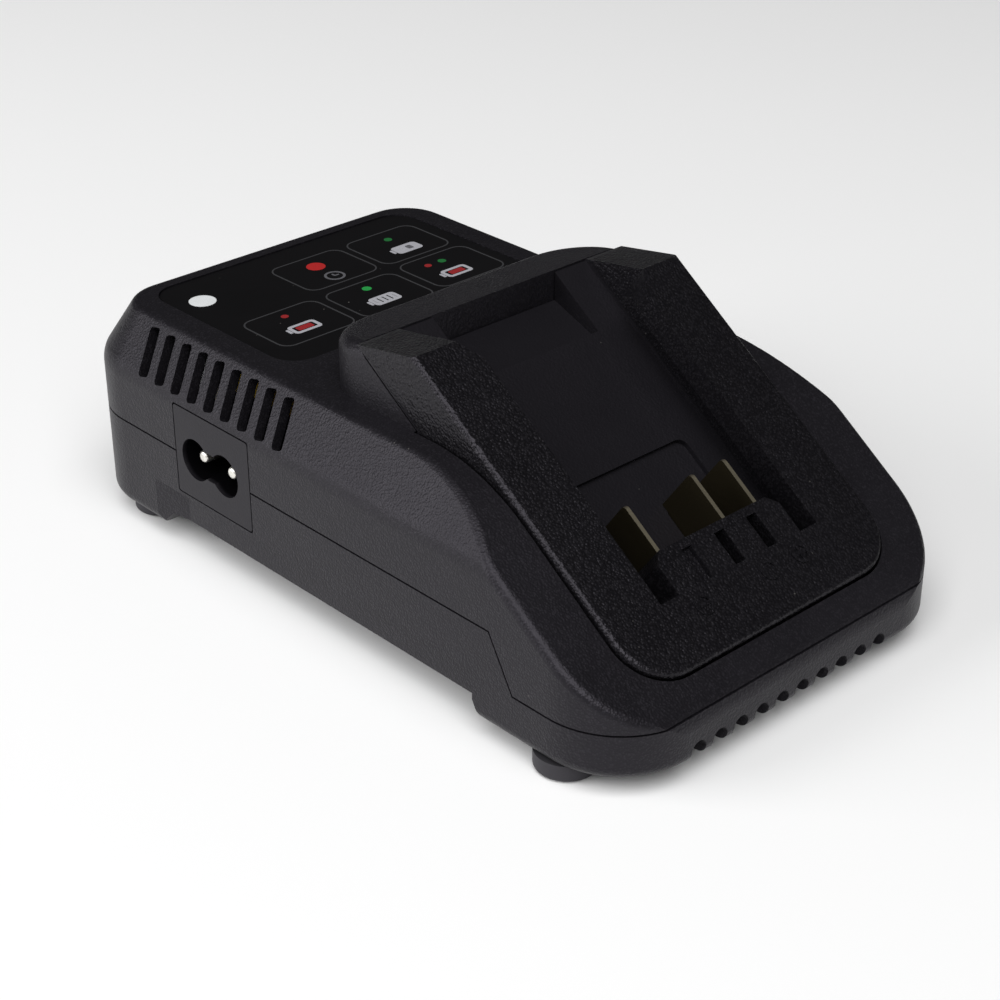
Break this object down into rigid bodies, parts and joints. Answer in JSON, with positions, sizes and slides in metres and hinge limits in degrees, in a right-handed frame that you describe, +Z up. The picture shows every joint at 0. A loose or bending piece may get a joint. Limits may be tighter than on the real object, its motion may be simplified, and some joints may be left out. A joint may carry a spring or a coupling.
{
  "type": "power tool battery charger",
  "caption": "Desktop charger with a sloping dock whose lipped rails and brass blades take a slide-on tool battery, and a figure-8 mains inlet.",
  "frame": {"origin": "on the surface that the feet stand on, under the middle of the case", "axes": "+X right, +Y to the rear (the label end), +Z up; the dock slopes down towards -Y and the mains inlet is in the -X wall"},
  "size_m": [0.086, 0.1462, 0.0555],
  "materials": {
    "case_plastic": "fine even grain",
    "dock_plastic": "coarse speckled grain",
    "inlet_plastic": "fine grain",
    "label_film": "smooth printed film",
    "lens_white": "translucent white",
    "foot_rubber": "matt",
    "terminal_brass": "rolled",
    "pin_nickel": "plated",
    "screw_steel": "zinc plated",
    "board_laminate": "green solder mask",
    "block_plastic": "moulded",
    "film_yellow": "moulded",
    "can_sleeve": "shrink sleeve",
    "ferrite": "sintered",
    "winding_tape": "wound tape",
    "choke_copper": "enamelled wire",
    "sink_aluminium": "plain",
    "fuse_glass": "clear",
    "wire_insulation": "smooth"
  },
  "bodies": {
    "root": {"upper_shell": "case_plastic", "lower_shell": "case_plastic", "battery_dock": "dock_plastic", "terminal_blade_positive": "terminal_brass", "terminal_blade_signal": "terminal_brass", "terminal_blade_negative": "terminal_brass", "inlet_housing": "inlet_plastic", "inlet_pin_line": "pin_nickel", "inlet_pin_neutral": "pin_nickel", "label_overlay": "label_film", "status_light_lens": "lens_white", "foot_front_left": "foot_rubber", "foot_front_right": "foot_rubber", "foot_rear_left": "foot_rubber", "foot_rear_right": "foot_rubber", "case_screws": "screw_steel", "board_screws": "screw_steel", "terminal_block": "block_plastic", "terminal_wires": "wire_insulation", "inlet_wires": "wire_insulation", "circuit_board": "board_laminate", "fuse": "fuse_glass", "line_filter_choke": "choke_copper", "film_capacitor": "film_yellow", "bridge_rectifier": "block_plastic", "input_capacitor": "can_sleeve", "transformer_core": "ferrite", "transformer_winding": "winding_tape", "primary_heat_sink": "sink_aluminium", "switching_transistor": "block_plastic", "output_heat_sink": "sink_aluminium", "output_rectifier": "block_plastic", "output_capacitors": "can_sleeve", "optocoupler": "block_plastic", "control_chip": "block_plastic", "status_led": "lens_white"}
  },
  "joints": []
}
